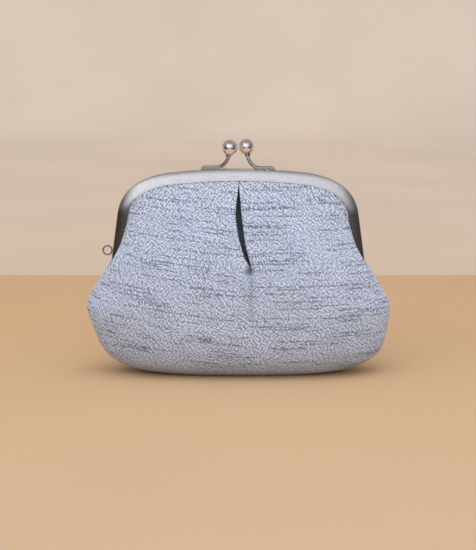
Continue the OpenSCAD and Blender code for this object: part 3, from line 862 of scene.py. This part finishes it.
class PURSE_OT_lining(bpy.types.Operator):
    """Makes the front and rear lining inside the outer cloth"""

    bl_idname = "purse.lining"
    bl_label = "Lining"

    def execute(self, context):
        sizes = context.scene.purse_sizes
        colours = context.scene.purse_colours
        high = [k ** 0.92 for k in np.linspace(0, 1, 22)]
        panel = Panel(sizes, 0.00105, 22, low_rows(0.0021), high, lining=True)
        points, shade = panel_points(panel)
        centre = points.shape[1] // 2
        plain = tuple(colours.lining)
        cotton = woven("Lining Cotton", plain, tuple(c * 0.7 for c in plain), 0.00035, 0.15,
                       0.45)
        front = grid_piece("front_lining", points, shade, sizes.lining_t,
                           weave_map(points, centre))
        dress(front, cotton)
        rear = turned_copy(front, "rear_lining")
        for obj, side in ((front, "front"), (rear, "rear")):
            sway(obj)
            bend_with(obj, sizes.hinge_z)
            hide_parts(side + "_lining_upper", side + "_lining_lower")
            for part in ("_lining_upper", "_lining_lower"):
                dress(nodes[side + part], cotton)
        return {"FINISHED"}


class PURSE_OT_metal(bpy.types.Operator):
    """Finishes the rails, rivets, clasp and strap ring in nickel plate"""

    bl_idname = "purse.metal"
    bl_label = "Metal"

    def execute(self, context):
        nickel = tuple(context.scene.purse_colours.nickel)
        rail = plated("Rail Nickel", nickel, 0.21, 0.18, (260, 2600, 2600), leg_x=0.0525)
        # The clasp's nickel is the rail's at 0.70: painted shade for the dark lower sides of its
        # arms and feet
        clasp = plated("Clasp Nickel Painted Shade", tuple(c * 0.70 for c in nickel), 0.17, 0.12,
                       (900, 900, 300))
        # The balls' nickel is 1.35 times the rail's: painted light for the whiter look of their
        # reflections
        ball = plated("Ball Nickel Painted Light", tuple(min(1, c * 1.35) for c in nickel), 0.16, 0.06,
                      (400, 400, 400))
        ring = plated("Ring Nickel", tuple(c * 0.5 for c in nickel), 0.24, 0.12, (900, 900, 900))
        rivet = plated("Rivet Nickel", nickel, 0.22, 0.1, (900, 900, 900))
        for name, obj in nodes.items():
            if name.endswith("rail"):
                dress(obj, rail)
                smooth_cad(name, 40)
            elif "clasp_ball" in name:
                dress(obj, ball)
                smooth_cad(name, 60)
            elif "clasp" in name or "ring" in name:
                dress(obj, ring if "ring" in name else clasp)
                smooth_cad(name, 40)
            elif "rivet" in name:
                dress(obj, rivet)
                smooth_cad(name, 40)
        return {"FINISHED"}


class PURSE_OT_solder(bpy.types.Operator):
    """Adds the small solder beads at the feet of the clasp"""

    bl_idname = "purse.solder"
    bl_label = "Solder"

    def execute(self, context):
        nickel = tuple(context.scene.purse_colours.nickel)
        bead_metal = plated("Solder", tuple(c * 1.05 for c in nickel), 0.28, 0.3,
                            (1500, 1500, 1500))
        outline = Outline(context.scene.purse_sizes)
        for side, turn in (("front", 1), ("rear", -1)):
            beads = []
            for x in (0.0065, 0.0107, 0.0138):
                z = outline.arch_c[1] + math.sqrt(outline.arch_r ** 2 - x ** 2) - 0.00015
                bpy.ops.object.select_all(action="DESELECT")
                bpy.ops.mesh.primitive_uv_sphere_add(
                    segments=20, ring_count=10, radius=0.00062,
                    location=(turn * x, -turn * 0.0026, z))
                bead = bpy.context.object
                bead.scale = (1.5, 0.8, 0.62)
                bpy.ops.object.transform_apply(location=True, rotation=True, scale=True)
                for v in bead.data.vertices:
                    p = v.co / MM
                    swell = 0.06 * math.sin(5.1 * p.x + 2.3 * p.z) + 0.05 * math.sin(7.7 * p.y)
                    v.co += v.normal * swell * MM
                beads.append(bead)
            bpy.ops.object.select_all(action="DESELECT")
            for bead in beads:
                bead.select_set(True)
            context.view_layer.objects.active = beads[0]
            bpy.ops.object.join()
            piece = context.object
            piece.name = side + "_solder"
            piece.data.name = piece.name
            bpy.ops.object.origin_set(type="ORIGIN_CURSOR")
            bpy.ops.object.shade_smooth()
            dress(piece, bead_metal)
            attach(piece, side + "_frame")
        return {"FINISHED"}


class PURSE_OT_paper(bpy.types.Operator):
    """Finishes the paper cords that wedge the cloth in the channels"""

    bl_idname = "purse.paper"
    bl_label = "Paper Cords"

    def execute(self, context):
        twist = paper_twist("Twisted Paper", (0.62, 0.50, 0.33))
        for name in ("front_paper_cord", "rear_paper_cord"):
            dress(nodes[name], twist)
        return {"FINISHED"}


TABLE_EDGE = 0.265
TABLE_T = 0.0012
FLOOR_Z = -0.0013
FLOOR_BACK = 1.2
SWEEP_R = 0.4
WALL_TURN = -math.pi / 2


def make_table(colour):
    """A slab whose top is at height 0, up to the edge that shows behind the purse"""
    bpy.ops.mesh.primitive_cube_add(size=1, location=(0, TABLE_EDGE / 2 - 0.80, -TABLE_T / 2),
                                    scale=(3.2, 1.60 + TABLE_EDGE, TABLE_T))
    table = bpy.context.object
    table.name = "table"
    bpy.ops.object.transform_apply(location=True, rotation=True, scale=True)
    # Painted shade: the table turns darker and warmer towards the back
    dress(table, stage_material("Table", colour, 0.5, (0.97, 0.89, 0.77), -0.35, 0.45))
    return table


def make_wall(colour):
    """A floor that sweeps up into a wall"""
    bpy.ops.mesh.primitive_plane_add(size=1, location=(0, FLOOR_BACK - 1.40, FLOOR_Z))
    wall = bpy.context.object
    wall.name = "wall"
    wall.scale = (4.4, 2.80, 1)
    bpy.ops.object.transform_apply(location=True, rotation=True, scale=True)
    bpy.ops.object.mode_set(mode="EDIT")
    bpy.ops.mesh.select_all(action="DESELECT")
    bpy.ops.object.mode_set(mode="OBJECT")
    for edge in wall.data.edges:
        edge.select = all(wall.data.vertices[v].co.y > FLOOR_BACK - 0.1 for v in edge.vertices)
    bpy.ops.object.mode_set(mode="EDIT")
    bpy.ops.mesh.select_mode(type="EDGE")
    bpy.ops.mesh.spin(steps=16, angle=WALL_TURN, center=(0, FLOOR_BACK, SWEEP_R), axis=(1, 0, 0))
    bpy.ops.mesh.extrude_region_move(TRANSFORM_OT_translate={"value": (0, 0, 1.6)})
    bpy.ops.object.mode_set(mode="OBJECT")
    bpy.ops.object.shade_smooth()
    # Painted light: the floor and wall turn lighter and bluer towards the back, by 1.27 to 1.5
    # times over a metre
    dress(wall, stage_material("Wall", colour, 0.1, (1.27, 1.36, 1.50), TABLE_EDGE, 1.0))
    return wall


def make_cards():
    """Two dark cards beside the camera, which only the polished legs reflect"""
    dark, _, shader = new_material("Dark Card")
    shader.inputs["Base Color"].default_value = (0.012, 0.012, 0.012, 1)
    shader.inputs["Roughness"].default_value = 0.9
    cards = []
    for name, sign, height in (("card_left", -1, 0.100), ("card_right", 1, 0.080)):
        bpy.ops.mesh.primitive_plane_add(
            size=1, location=(sign * 0.235, -0.16, height / 2),
            rotation=(math.pi / 2, 0, sign * math.radians(48)))
        card = bpy.context.object
        card.name = name
        card.scale = (0.376, height, 1)
        bpy.ops.object.transform_apply(location=True, rotation=True, scale=True)
        card.visible_camera = card.visible_diffuse = card.visible_shadow = False
        dress(card, dark)
        cards.append(card)
    return cards


def make_room(scene, wall_colour):
    """The light from all round: soft for cloth and paper, a bright window for polished metal,
    and the wall's colour for the camera"""
    world = bpy.data.worlds.new("Room")
    scene.world = world
    world.use_nodes = True
    tree = world.node_tree
    back = tree.nodes["Background"]
    x, y, z = parts_of(tree, node(tree, "ShaderNodeTexCoord").outputs["Generated"])
    raised = times(tree, plus(tree, z, 0.1), 1.6, True)
    facing = plus(tree, times(tree, y, -0.22), 0.83)
    level = times(tree, plus(tree, times(tree, raised, 0.55), 0.50), facing)
    room = ramp(tree, level, [(0.0, grey(0)), (1.0, grey(1))])
    # What polished metal shows: a tall bright window in front, a dim ceiling and sides
    window = ramp(tree, z, [
        (0.00, grey(0.35)), (0.06, grey(0.78)), (0.25, grey(1.0)), (0.66, grey(1.0)),
        (0.82, (0.36, 0.34, 0.33)), (1.0, (0.24, 0.22, 0.21))])
    # Brighter from the left, by a factor that may pass 1, so the ramp reads three quarters of it
    from_left = times(tree, plus(tree, times(tree, x, -0.40), 1.0), 0.75)
    window = mix(tree, 1.0, window, ramp(tree, from_left, [(0, grey(0)), (1, grey(1.333))]),
                 "MULTIPLY")
    aside = times(tree, minus(tree, math_node(tree, "ABSOLUTE", x), 0.45), 3.0, True)
    behind = times(tree, plus(tree, y, 0.30), 3.0, True)
    window = mix(tree, aside, window, (0.13, 0.12, 0.11))
    window = mix(tree, behind, window, (0.34, 0.28, 0.24))
    path = node(tree, "ShaderNodeLightPath").outputs
    light = mix(tree, path["Is Glossy Ray"], room, window)
    tree.links.new(mix(tree, path["Is Camera Ray"], light, wall_colour), back.inputs["Color"])
    back.inputs["Strength"].default_value = 1.0


# Name, place, side in metres, power in watts and colour
LAMPS = (
    ("key", (-0.36, -0.86, 1.06), 1.6, 7.5, (1.0, 0.99, 0.97)),
    ("fill", (0.80, -0.50, 0.12), 0.6, 1.2, (1.0, 0.98, 0.95)),
    ("top", (0.10, -0.10, 1.2), 0.8, 3.5, (1.0, 1.0, 1.0)),
)
LAMP_AIM = Vector((0, 0, 0.05))


def make_lamps():
    """Soft square lamps, aimed at the purse and not seen in the metal"""
    for name, place, size, power, colour in LAMPS:
        bpy.ops.object.light_add(type="AREA", location=place)
        lamp = bpy.context.object
        lamp.name = name
        lamp.data.size = size
        lamp.data.energy = power
        lamp.data.color = colour
        lamp.visible_glossy = False
        lamp.rotation_euler = (LAMP_AIM - Vector(place)).to_track_quat("-Z", "Y").to_euler()


CAMERA_TARGET = Vector((0.0, -0.004, 0.0475))
CAMERA_RISE = math.radians(10)
CAMERA_DISTANCE = 0.75


def make_camera(scene):
    """A long lens in front, a little above the purse"""
    offset = CAMERA_DISTANCE * Vector((0, -math.cos(CAMERA_RISE), math.sin(CAMERA_RISE)))
    bpy.ops.object.camera_add(location=CAMERA_TARGET + offset)
    camera = bpy.context.object
    camera.name = "camera"
    camera.rotation_euler = (-offset).to_track_quat("-Z", "Y").to_euler()
    camera.data.sensor_width = 36
    camera.data.sensor_fit = "HORIZONTAL"
    camera.data.lens = 120
    scene.camera = camera


class PURSE_OT_stage(bpy.types.Operator):
    """Sets the table, the backdrop, the lamps and the camera"""

    bl_idname = "purse.stage"
    bl_label = "Stage"

    def execute(self, context):
        scene = context.scene
        colours = scene.purse_colours
        scene.view_settings.view_transform = "Standard"
        table = make_table(tuple(colours.table))
        wall = make_wall(tuple(colours.wall))
        make_cards()
        make_room(scene, tuple(colours.wall))
        make_lamps()
        make_camera(scene)
        return {"FINISHED"}


class PURSE_PT_panel(bpy.types.Panel):
    """Lists the steps that dress the purse"""

    bl_label = "Coin Purse"
    bl_idname = "PURSE_PT_panel"
    bl_space_type = "VIEW_3D"
    bl_region_type = "UI"
    bl_category = "Purse"

    def draw(self, context):
        for name in STEPS:
            self.layout.operator("purse." + name)


STEPS = ("outer_cloth", "lining", "metal", "solder", "paper", "stage")
CLASSES = (PurseSizes, PurseColours, PURSE_OT_outer_cloth, PURSE_OT_lining, PURSE_OT_metal,
           PURSE_OT_solder, PURSE_OT_paper, PURSE_OT_stage, PURSE_PT_panel)


def register():
    for cls in CLASSES:
        bpy.utils.register_class(cls)
    bpy.types.Scene.purse_sizes = bpy.props.PointerProperty(type=PurseSizes)
    bpy.types.Scene.purse_colours = bpy.props.PointerProperty(type=PurseColours)


def unregister():
    del bpy.types.Scene.purse_sizes
    del bpy.types.Scene.purse_colours
    for cls in reversed(CLASSES):
        bpy.utils.unregister_class(cls)


def main():
    register()
    for name in STEPS:
        getattr(bpy.ops.purse, name)()


if __name__ == "__main__":
    main()
